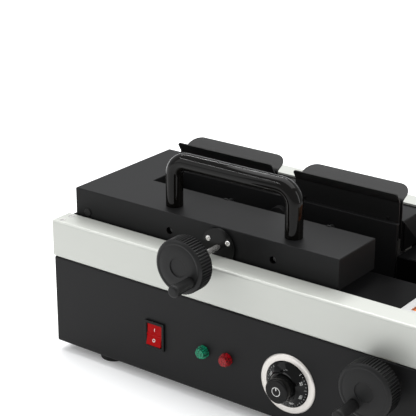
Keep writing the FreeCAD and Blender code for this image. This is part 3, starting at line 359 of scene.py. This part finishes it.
head_top, handle_y, bar, bend = 0.1845, -0.0743, 0.0092, 0.017
handle_left, handle_right, span_level = -0.128, 0.0203, 0.2445 - 0.00925
path = ([(handle_left, head_top), (handle_left, head_top + 0.0006)]
        + arc((handle_left + bend, span_level - bend), bend, 180, 90, 14)
        + arc((handle_right - bend, span_level - bend), bend, 90, 0, 14)
        + [(handle_right, head_top + 0.0006), (handle_right, head_top)])
rings = []
for i, (across, level) in enumerate(path):
    before, after = path[max(i - 1, 0)], path[min(i + 1, len(path) - 1)]
    way = Vector((after[0] - before[0], 0, after[1] - before[1])).normalized()
    side = way.cross(Vector((0, 1, 0)))
    thick = bar - 0.0006 if i in (0, len(path) - 1) else bar
    rings.append([Vector((across, handle_y, level)) + thick * (math.cos(turn) * side + Vector(
        (0, math.sin(turn), 0))) for turn in (2 * math.pi * k / 48 for k in range(48))])
enamel = moulded("gloss_enamel", (0.0035, 0.0031, 0.0027), 0.035, 0.15, 300, 0.00001)
new_piece("handle_bar", faced("handle_bar", rings), "base", "gloss_black", enamel, "bow_handle")
wear(nodes["handle_screws"], bright_steel)


# ---------------------------------------------------------------- crank flange and hole plug
# A moulded disc with its lower edge cut straight where it meets the deck; the screw passes through
# it.  Two bright pan-head screws with cross recesses hold it, and a snap-in plug fills a spare hole.
def softened(profile, radius, cuts=3):
    """A profile with each inner corner rounded off by about radius."""
    points = [profile[0]]
    for before, here, after in zip(profile, profile[1:], profile[2:]):
        here, back, ahead = Vector(here), Vector(before) - Vector(here), Vector(after) - Vector(here)
        start = here + back.normalized() * min(radius, 0.45 * back.length)
        stop = here + ahead.normalized() * min(radius, 0.45 * ahead.length)
        for i in range(cuts + 1):
            t = i / cuts
            points.append(tuple((1 - t) ** 2 * start + 2 * t * (1 - t) * here + t ** 2 * stop))
    return points + [profile[-1]]


def lathe(name, profile, centre, steps=72, closed=False, radius_at=None, smooth=38):
    """A mesh turned about Y through centre; profile points are radius and distance along +Y."""
    rings = []
    for radius, along in profile:
        if radius < 1e-7:
            rings.append([(centre[0], centre[1] + along, centre[2])])
            continue
        ring = []
        for k in range(steps):
            turn = 2 * math.pi * k / steps
            size = radius_at(radius, along, k) if radius_at else radius
            ring.append((centre[0] + size * math.cos(turn), centre[1] + along,
                         centre[2] + size * math.sin(turn)))
        rings.append(ring)
    return faced(name, rings, closed, smooth)


def pan_head(name, centre, radius, height, recess=0.0011):
    """A domed screw head facing -Y, with a cross recess in its dome."""
    rings = [[(centre[0] + radius * math.cos(turn), centre[1], centre[2] + radius * math.sin(turn))
              for turn in (2 * math.pi * k / 64 for k in range(64))]]
    for step in range(11, 0, -1):
        size = radius * step / 11
        dome = height * (1 - 0.55 * (step / 11) ** 4)
        ring = []
        for k in range(64):
            turn = 2 * math.pi * k / 64 + 0.4
            east, north = size * math.cos(turn - 0.4), size * math.sin(turn - 0.4)
            arm = min(abs(size * math.cos(turn)), abs(size * math.sin(turn))) < radius * 0.15
            sunk = recess if arm and size < radius * 0.62 else 0.0
            ring.append((centre[0] + east, centre[1] - dome + sunk, centre[2] + north))
        rings.append(ring)
    rings.append([(centre[0], centre[1] - height + recess, centre[2])])
    return faced(name, rings, smooth=50)


def merged(name, meshes):
    """Several meshes as one."""
    work = bmesh.new()
    for mesh in meshes:
        work.from_mesh(mesh)
    whole = bpy.data.meshes.new(name)
    work.to_mesh(whole)
    work.free()
    return whole


black_moulding = moulded("black_moulding", (0.005, 0.005, 0.005), 0.15, 0.12, 500, 0.00002)
matte_moulding = moulded("matte_moulding", (0.0105, 0.0105, 0.0105), 0.42, 0.16)
crank_x, crank_z, flange_front = -0.0547, 0.1632, -0.0978
eased("crank_flange", 0.0005, "gloss_black", black_moulding, 3)
flange_heads = [pan_head(f"flange_head_{i}", (crank_x + side * 0.0121, flange_front, crank_z + 0.007),
                         0.0029, 0.0015, 0.0009) for i, side in enumerate((-1, 1))]
new_piece("flange_screw_heads", merged("flange_screw_heads", flange_heads), "base", "bright_steel",
          bright_steel, "flange_screws")
plug = softened([(0, -0.0012), (0.0044, -0.0012), (0.0044, 0), (0.0035, 0), (0.0035, 0.0048), (0, 0.0048)],
                0.0006)
new_piece("plug_moulding", lathe("plug_moulding", plug, (-0.2305, -0.095, 0.159)), "base",
          "wheel_plastic", matte_moulding, "hole_plug")


# ---------------------------------------------------------------- cranks
# Two equal hand wheels moulded in black phenolic with fine ribs round the rim and a sunk hub cap,
# each pressed on a bright steel shaft and carrying a revolving grip on a pin.  The upper shaft is
# the lead screw that drives the press; the lower one turns in a flanged brass bearing.
ribs, per_rib = 56, 9


def ribbed(radius, along, k):
    """The radius at step k: thin crests stand between wider valleys on the rim only."""
    if radius < 0.0279 or not 0.0025 < along < 0.0186:
        return min(radius, 0.0284)
    phase = abs((k % per_rib) / per_rib - 0.5) * 2
    return radius - 0.0018 * min(1.0, max(0.0, (phase - 0.3) / 0.2))


def hand_wheel(name, centre, body, node):
    """One wheel; centre is on its front face."""
    face = [(0, 0.0012), (0.0094, 0.0012), (0.0098, 0.0009), (0.0099, 0.0002), (0.0102, 0),
            (0.0150, 0.0001), (0.0222, 0.0001), (0.0228, 0.0003), (0.0234, 0.0003), (0.0240, 0)]
    rim = [(0.0250, 0), (0.0262, 0.0004), (0.0273, 0.0012), (0.0280, 0.0022), (0.0284, 0.0026),
           (0.0285, 0.0034), (0.0285, 0.0176), (0.0284, 0.0184), (0.0277, 0.0189), (0.0268, 0.019)]
    back = [(0.0236, 0.019), (0.0235, 0.0186), (0.0234, 0.0104), (0.0230, 0.01)]
    hub = [(0.0115, 0.01), (0.0111, 0.0104), (0.011, 0.0234), (0.0104, 0.024), (0.0031, 0.024)]
    outline = face + rim + back + hub
    return new_piece(name, lathe(name, outline, centre, ribs * per_rib, False, ribbed, 30), body,
                     "wheel_plastic", matte_moulding, node)


def grip(name, wheel_front, across, level, body, node, pin_body, pin_node):
    """A revolving grip: slim at its waist, with a domed end, on a steel pin set in the wheel."""
    outline = softened([(0, 0), (0.0050, 0), (0.0065, 0.0022), (0.0062, 0.008), (0.0057, 0.016),
                        (0.0058, 0.022), (0.0061, 0.0277), (0.0026, 0.0277)], 0.0012, 4)
    start = wheel_front - 0.0003 - 0.0277
    new_piece(name, lathe(name, outline, (across, start, level), 56), body, "wheel_plastic",
              matte_moulding, node)
    pin = [(0, 0), (0.0025, 0), (0.0025, 0.0337), (0, 0.0337)]
    new_piece(name + "_steel", lathe(name + "_steel", pin, (across, start + 0.003, level), 32), pin_body,
              "bright_steel", bright_steel, pin_node)


hand_wheel("upper_wheel", (crank_x, -0.1635, crank_z), "press_crank", "press_handwheel")
hand_wheel("lower_wheel", (0.153, -0.157, 0.0916), "lift_crank", "lift_handwheel")
grip("upper_grip", -0.1635, crank_x + 0.015, crank_z - 0.0118, "press_grip", "press_grip", "press_crank",
     "press_grip_pin")
grip("lower_grip", -0.157, 0.1425, 0.0758, "lift_grip", "lift_grip", "lift_crank", "lift_grip_pin")

shaft, lead = 0.003, 0.004
rings = []
stations = [-0.1595, -0.0985] + [-0.098 + 0.0005 * i for i in range(106)] + [-0.0445, 0.012]
for along in stations:
    ring = []
    for k in range(32):
        phase = (along / lead - k / 32) % 1.0
        cut = 0.0006 * (1 - abs(2 * phase - 1)) if -0.0982 < along < -0.045 else 0.0
        turn = 2 * math.pi * k / 32
        size = shaft - cut
        ring.append((crank_x + size * math.cos(turn), along, crank_z + size * math.sin(turn)))
    rings.append(ring)
new_piece("threaded_shaft", faced("threaded_shaft", rings, smooth=60), "press_crank", "bright_steel",
          bright_steel, "lead_screw")
brass = drawn_metal("bearing_brass", (0.62, 0.43, 0.17), 0.28, (22, 1, 22))
eased("lift_shaft", 0.0004, "bright_steel", bright_steel)
eased("lift_bearing", 0.0004, "bush_brass", brass)


# ---------------------------------------------------------------- wafer chutes
# Two funnels of thin black sheet over the baking gap: each rear wall leans back in a wide flare with
# round corners, each front wall has a short lip and is screwed to the press plate's ledge.
def chute_wall(name, left, right, face, sign, out, up, corner, body, node):
    """One bent sheet; face is the slot side, sign the way it flares along Y."""
    thick, foot, top, bend_radius = 0.0012, 0.165, 0.2066, 0.005
    lean = math.atan2(out, up)
    tangent = bend_radius * math.tan(lean / 2)
    line = [(face, foot)]
    for i in range(9):
        turn = lean * i / 8
        line.append((face + sign * bend_radius * (1 - math.cos(turn)), top - tangent
                     + bend_radius * math.sin(turn)))
    reach = math.hypot(out, up)
    flat = [tangent + (reach - corner - tangent) * i / 3 for i in range(1, 4)]
    flat += [reach - corner + corner * math.sin(math.radians(9 * i)) for i in range(1, 11)]
    widths = [0.0] * (len(line) + 3) + [corner * (1 - math.cos(math.radians(9 * i))) for i in range(1, 11)]
    line += [(face + sign * size * math.sin(lean), top + size * math.cos(lean)) for size in flat]
    rings = []
    for i, (depth, level) in enumerate(line):
        before, after = line[max(i - 1, 0)], line[min(i + 1, len(line) - 1)]
        way = Vector((after[0] - before[0], after[1] - before[1])).normalized()
        low, high = left + widths[i], right - widths[i]
        far, under = depth + sign * thick * way[1], level - thick * abs(way[0])
        rings.append([(low, depth, level), (high, depth, level), (high, far, under), (low, far, under)])
    piece = new_piece(name, faced(name, rings, smooth=50), body, "powder_black", chute_coat, node)
    rounding = piece.modifiers.new("rounding", "BEVEL")
    rounding.width, rounding.segments, rounding.limit_method = 0.00025, 2, "ANGLE"
    rounding.angle_limit = math.radians(50)
    piece.modifiers.new("flat_faces", "WEIGHTED_NORMAL").weight = 100


chute_coat = powder_coat("chute_powder_coat", (0.0075, 0.0075, 0.0075), 0.36, 0.17)
for side, left, right in (("left", -0.1932, -0.0677), ("right", -0.0405, 0.084)):
    chute_wall(side + "_rear_wall", left, right, 0.0265, 1, 0.020, 0.0104, 0.014, "base",
               side + "_chute_rear")
    chute_wall(side + "_front_wall", left, right, 0.0215, -1, 0.0063, 0.0105, 0.004, "press",
               side + "_chute_front")
chute_heads = [pan_head(f"chute_head_{i}", (across, 0.0203, head_top + 0.003), 0.0016, 0.0011, 0.0006)
               for i, across in enumerate((-0.1812, -0.0797, -0.0285, 0.072))]
new_piece("chute_screw_heads", merged("chute_screw_heads", chute_heads), "press", "bright_steel",
          black_moulding, "chute_screws")


# ---------------------------------------------------------------- baking well
# Two cast aluminium platens with a shallow square grid, dark with seasoning, heated by mica-faced
# strips and backed by a board; the front one rides on two ground rods in brass bushes.
def cast_metal(name, tone, roughness):
    """Cast and seasoned metal: uneven tone, pitted skin and a few burnt patches."""
    cast = Finish(name)
    pits = cast.noise(700, 4.0, roughness=0.7)
    burn = cast.ramp(cast.noise(22, 4.0, roughness=0.65), (0.45, 0.0), (0.75, 1.0))
    darker = tuple(part * 0.35 for part in tone)
    cast.surface(Base_Color=cast.mix(burn * 0.7, tone, darker), Metallic=0.7,
                 Roughness=roughness + 0.25 * (pits - 0.5) + 0.15 * burn,
                 Normal=cast.bump(pits, 0.00008, 0.6))
    return cast.material


platen_skin = cast_metal("seasoned_platen", (0.16, 0.155, 0.15), 0.45)
# The heaters show only through the baking gap. Their near-black tone is painted shade for that gap.
heater_shaded_skin = cast_metal("heater_painted_shade", (0.035, 0.03, 0.026), 0.55)
for label in ("front_platen", "rear_platen"):
    wear(nodes[label], platen_skin)
for label in ("front_heater", "rear_heater"):
    eased(label, 0.0005, "heater_mica", heater_shaded_skin)
board = moulded("insulation_board", (0.62, 0.60, 0.54), 0.85, 0.1, 260, 0.0002)
oiled_steel = drawn_metal("oiled_steel", (0.10, 0.10, 0.10), 0.35, (22, 1, 22))
eased("rear_insulation", 0.0008, "board", board)
eased("guide_rods", 0.0004, "bright_steel", oiled_steel)
eased("guide_bushes", 0.0003, "bush_brass", brass)


# ---------------------------------------------------------------- sheet lift
# A thin steel blade under the baked sheets, guided on two hanging posts and driven by a rack and a
# brass pinion on the lower shaft, whose inner end turns in a painted bracket.
for label in ("lift_blade", "lift_rack", "lift_posts"):
    eased(label, 0.00025, "bright_steel", bright_steel)
eased("lift_pinion", 0.00025, "bush_brass", brass)
eased("lift_bracket", 0.0005, "powder_black", shaded_deck_coat)


# ---------------------------------------------------------------- power switch
# A snap-in black surround on the base front with a glossy translucent red rocker on pivot pins, its
# upper half marked with a bar and its lower half with a ring in white.
def flat_mark(name, outer, inner, origin, right, up):
    """A thin printed shape: points across and up from origin; inner is its hole's outline or None."""
    away = right.cross(up) * 0.00004
    loops = [[origin + right * across + up * level + away for across, level in loop]
             for loop in ((outer, inner) if inner else (outer,))]
    work = bmesh.new()
    made = [[work.verts.new(point) for point in loop] for loop in loops]
    if inner:
        for i in range(len(outer)):
            j = (i + 1) % len(outer)
            work.faces.new((made[0][i], made[0][j], made[1][j], made[1][i]))
    else:
        work.faces.new(made[0])
    mesh = bpy.data.meshes.new(name)
    work.to_mesh(mesh)
    work.free()
    return mesh


def circle(radius, steps=32):
    return [(radius * math.cos(2 * math.pi * k / steps), radius * math.sin(2 * math.pi * k / steps))
            for k in range(steps)]


red_gloss = moulded("red_rocker", (0.31, 0.0006, 0.0012), 0.14, 0.05, 400, 0.00002)
white_print = moulded("white_print", (0.72, 0.72, 0.70), 0.5, 0.3, 1500, 0.00001)
eased("switch_body", 0.0005, "gloss_black", black_moulding, 3)
eased("power_rocker", 0.0006, "red_plastic", red_gloss, 3)
tilt = Matrix.Rotation(math.radians(-7), 3, "X")
east = Vector((1, 0, 0))
upper, lower = Vector((0, -1.2, 11.6)).normalized(), Vector((0, 1.2, 11.6)).normalized()
pivot = Vector((-0.1155, front_wall, 0.058))
bar_outline = [(-0.0003, -0.0018), (0.0003, -0.0018), (0.0003, 0.0018), (-0.0003, 0.0018)]
bar_mark = flat_mark("bar_mark", bar_outline, None,
                     pivot + tilt @ Vector((0, -0.0020, 0.0058)), east, tilt @ upper)
ring_mark = flat_mark("ring_mark", circle(0.0018), circle(0.0012),
                      pivot + tilt @ Vector((0, -0.0020, -0.0058)), east, tilt @ lower)
new_piece("rocker_marks", merged("rocker_marks", [bar_mark, ring_mark]), "rocker", "terminal_plastic",
          white_print)


# ---------------------------------------------------------------- pilot lamps
# A green and a red lamp: stepped clear-coloured lenses, ribbed inside, on threaded bodies that pass
# through the base front.
def lens_plastic(name, tone, deep):
    """Clear coloured moulding: the ribs inside show as rings of deeper colour."""
    glass = Finish(name)
    flow = glass.noise(600, 2.0)
    rings = glass.noise(900, 1.0, (1, 0.15, 1))
    glass.surface(Base_Color=glass.mix(glass.ramp(rings, (0.38, 0.0), (0.62, 1.0)), deep, tone),
                  Roughness=0.06 + 0.06 * flow, Specular_IOR_Level=0.16, Transmission_Weight=0.2,
                  Normal=glass.bump(rings, 0.00012, 0.6))
    return glass.material


lens_steps = [(0, -0.008), (0.0047, -0.008), (0.0055, -0.0072), (0.0055, -0.0056), (0.0062, -0.0056),
              (0.0062, -0.0036), (0.0067, -0.0036), (0.0067, -0.0018), (0.007, -0.0018), (0.007, 0)]
lens_outline = softened(lens_steps + [(0.0055, 0), (0.0055, 0.022), (0, 0.022)], 0.0004)
for colour, across, tone, deep in (("green", -0.0525, (0.008, 0.30, 0.15), (0.001, 0.055, 0.03)),
                                   ("red", -0.0235, (0.42, 0.003, 0.008), (0.07, 0.0008, 0.0015))):
    new_piece(colour + "_lens", lathe(colour + "_lens", lens_outline, (across, front_wall, 0.058)), "base",
              colour + "_plastic", lens_plastic(colour + "_lens", tone, deep), colour + "_lamp")


# ---------------------------------------------------------------- thermostat
# A bright pressed ring round a glossy black skirt, printed in white with ticks and degrees, and a
# black knob on the same shaft.  Behind the front sheet is the thermostat's own case.
bezel_metal = drawn_metal("bright_bezel", (0.66, 0.63, 0.595), 0.33, (1, 1, 1), 0.55)
dial_centre = (0.0505, front_wall, 0.0544)
bezel = softened([(0.028, 0), (0.0245, 0), (0.0245, -0.002), (0.0303, -0.002), (0.0315, -0.0008), (0.0315, 0),
                  (0.028, 0)], 0.0005)
new_piece("bezel_ring", lathe("bezel_ring", bezel[:-1], dial_centre, 120, True), "base", "bright_steel",
          bezel_metal, "dial_bezel")

slope = [(0.0145, -0.009), (0.0150, -0.0080), (0.0162, -0.0064), (0.0180, -0.0049), (0.0202, -0.0036),
         (0.0223, -0.0026), (0.0232, -0.0023), (0.0235, -0.0020)]
skirt = ([(0, -0.009)] + slope
         + [(0.0235, -0.0012), (0.0232, -0.001), (0.003, -0.001), (0.003, 0.007), (0, 0.007)])
gloss = moulded("gloss_skirt", (0.003, 0.003, 0.003), 0.05, 0.16, 200, 0.00001)
new_piece("dial_cone", lathe("dial_cone", skirt, dial_centre, 120, smooth=32), "dial", "gloss_black", gloss,
          "dial_skirt")


def on_skirt(turn, radius, aside):
    """The point on the skirt's front at a clock angle in degrees, a radius and a way aside from it."""
    for (r0, d0), (r1, d1) in zip(slope, slope[1:]):
        if radius <= r1:
            break
    depth = d0 + (d1 - d0) * (radius - r0) / (r1 - r0) - 0.00005
    sine, cosine = math.sin(math.radians(turn)), math.cos(math.radians(turn))
    return (dial_centre[0] + radius * sine + aside * cosine, dial_centre[1] + depth,
            dial_centre[2] + radius * cosine - aside * sine)


work = bmesh.new()
for k in range(31):
    turn, length = 45 + 9 * k, 0.0022 if k % 5 == 0 else 0.0012
    work.faces.new([work.verts.new(on_skirt(turn, radius, aside)) for radius, aside in (
        (0.0231 - length, -0.00012), (0.0231 - length, 0.00012), (0.0231, 0.00012), (0.0231, -0.00012))])
for k, figures in enumerate(("50", "100", "150", "200", "250", "300")):
    letters = bpy.data.curves.new("figures", "FONT")
    letters.body, letters.size, letters.align_x = figures, 0.0036, "CENTER"
    holder = bpy.data.objects.new("figures", letters)
    outline = bpy.data.meshes.new_from_object(holder)
    for spot in outline.vertices:
        spot.co = on_skirt(67.5 + 45 * k, 0.0178 + spot.co.y, spot.co.x)
    work.from_mesh(outline)
    bpy.data.objects.remove(holder)
prints = bpy.data.meshes.new("dial_print")
work.to_mesh(prints)
work.free()
new_piece("dial_print", prints, "dial", "terminal_plastic", white_print)

knob = softened([(0, -0.0215), (0.0118, -0.0215), (0.013, -0.0203), (0.013, -0.009), (0, -0.009)], 0.0008, 4)
new_piece("knob_moulding", lathe("knob_moulding", knob, dial_centre, 96), "dial", "gloss_black",
          black_moulding, "dial_knob")
badge = [flat_mark(f"badge_{i}", outer, inner, Vector((0.0505, front_wall - 0.0215, 0.0544)), east,
                   Vector((0, 0, 1))) for i, (outer, inner) in enumerate((
                       (circle(0.0048, 48), circle(0.0042, 48)),
                       ([(-0.0005, 0.0012), (0.0005, 0.0012), (0.0005, 0.0038), (-0.0005, 0.0038)], None)))]
new_piece("knob_mark", merged("knob_mark", badge), "dial", "terminal_plastic", white_print)
eased("thermostat_body", 0.0008, "wheel_plastic", matte_moulding)


# ---------------------------------------------------------------- wiring, feet and gland
# An ivory terminal strip on the floor of the base, a black gland in its rear wall, and four black
# rubber feet, each drawn up by one screw.
rubber = moulded("foot_rubber", (0.011, 0.011, 0.011), 0.72, 0.2, 350, 0.00008)
eased("terminal_block", 0.0005, "terminal_plastic", moulded("ivory_strip", (0.66, 0.63, 0.55), 0.45, 0.4))
eased("cable_gland", 0.0006, "wheel_plastic", matte_moulding, 3)
eased("rubber_feet", 0.0010, "foot_rubber", rubber, 3)
wear(nodes["foot_screws"], bright_steel)


# ---------------------------------------------------------------- trays
# Brushed stainless sheet: the crumb tray that slides out at the left end, and the forming tray sunk
# in the bay at the right end.
tray_steel = drawn_metal("brushed_tray", (0.56, 0.56, 0.55), 0.33, (22, 1, 22), 0.8)
eased("catch_tray", 0.0004, "tray_steel", tray_steel)
eased("forming_tray", 0.0005, "tray_steel", tray_steel)


# ---------------------------------------------------------------- cone forming
# An orange silicone cradle, moulded to the cone, holds the turned beech mandrel on which a warm
# wafer is rolled.
silicone = moulded("orange_silicone", (0.62, 0.145, 0.018), 0.55, 0.3, 420, 0.00006)
eased("forming_cradle", 0.0012, "orange_silicone", silicone, 3)

beech = Finish("oiled_beech")
figure = beech.noise(55, 4.0, (1, 0.09, 1), 0.6)
flecks = beech.ramp(beech.noise(420, 2.0, (1, 0.12, 1)), (0.58, 0.0), (0.72, 1.0))
tone = beech.mix(beech.ramp(figure, (0.35, 0.0), (0.65, 1.0)), (0.50, 0.29, 0.135), (0.62, 0.39, 0.20))
beech.surface(Base_Color=beech.mix(flecks * 0.5, tone, (0.34, 0.17, 0.07)), Roughness=0.42 + 0.2 * figure,
              Normal=beech.bump(figure + 0.4 * flecks, 0.0001, 0.4))
mandrel = softened([(0, 0), (0.004, 0), (0.024, 0.12), (0.008, 0.12), (0.008, 0.216), (0, 0.216)], 0.0025, 5)
new_piece("turned_mandrel", lathe("turned_mandrel", mandrel, (0.2015, -0.084, 0.156), 96), "mandrel", "beech",
          beech.material, "cone_mandrel")
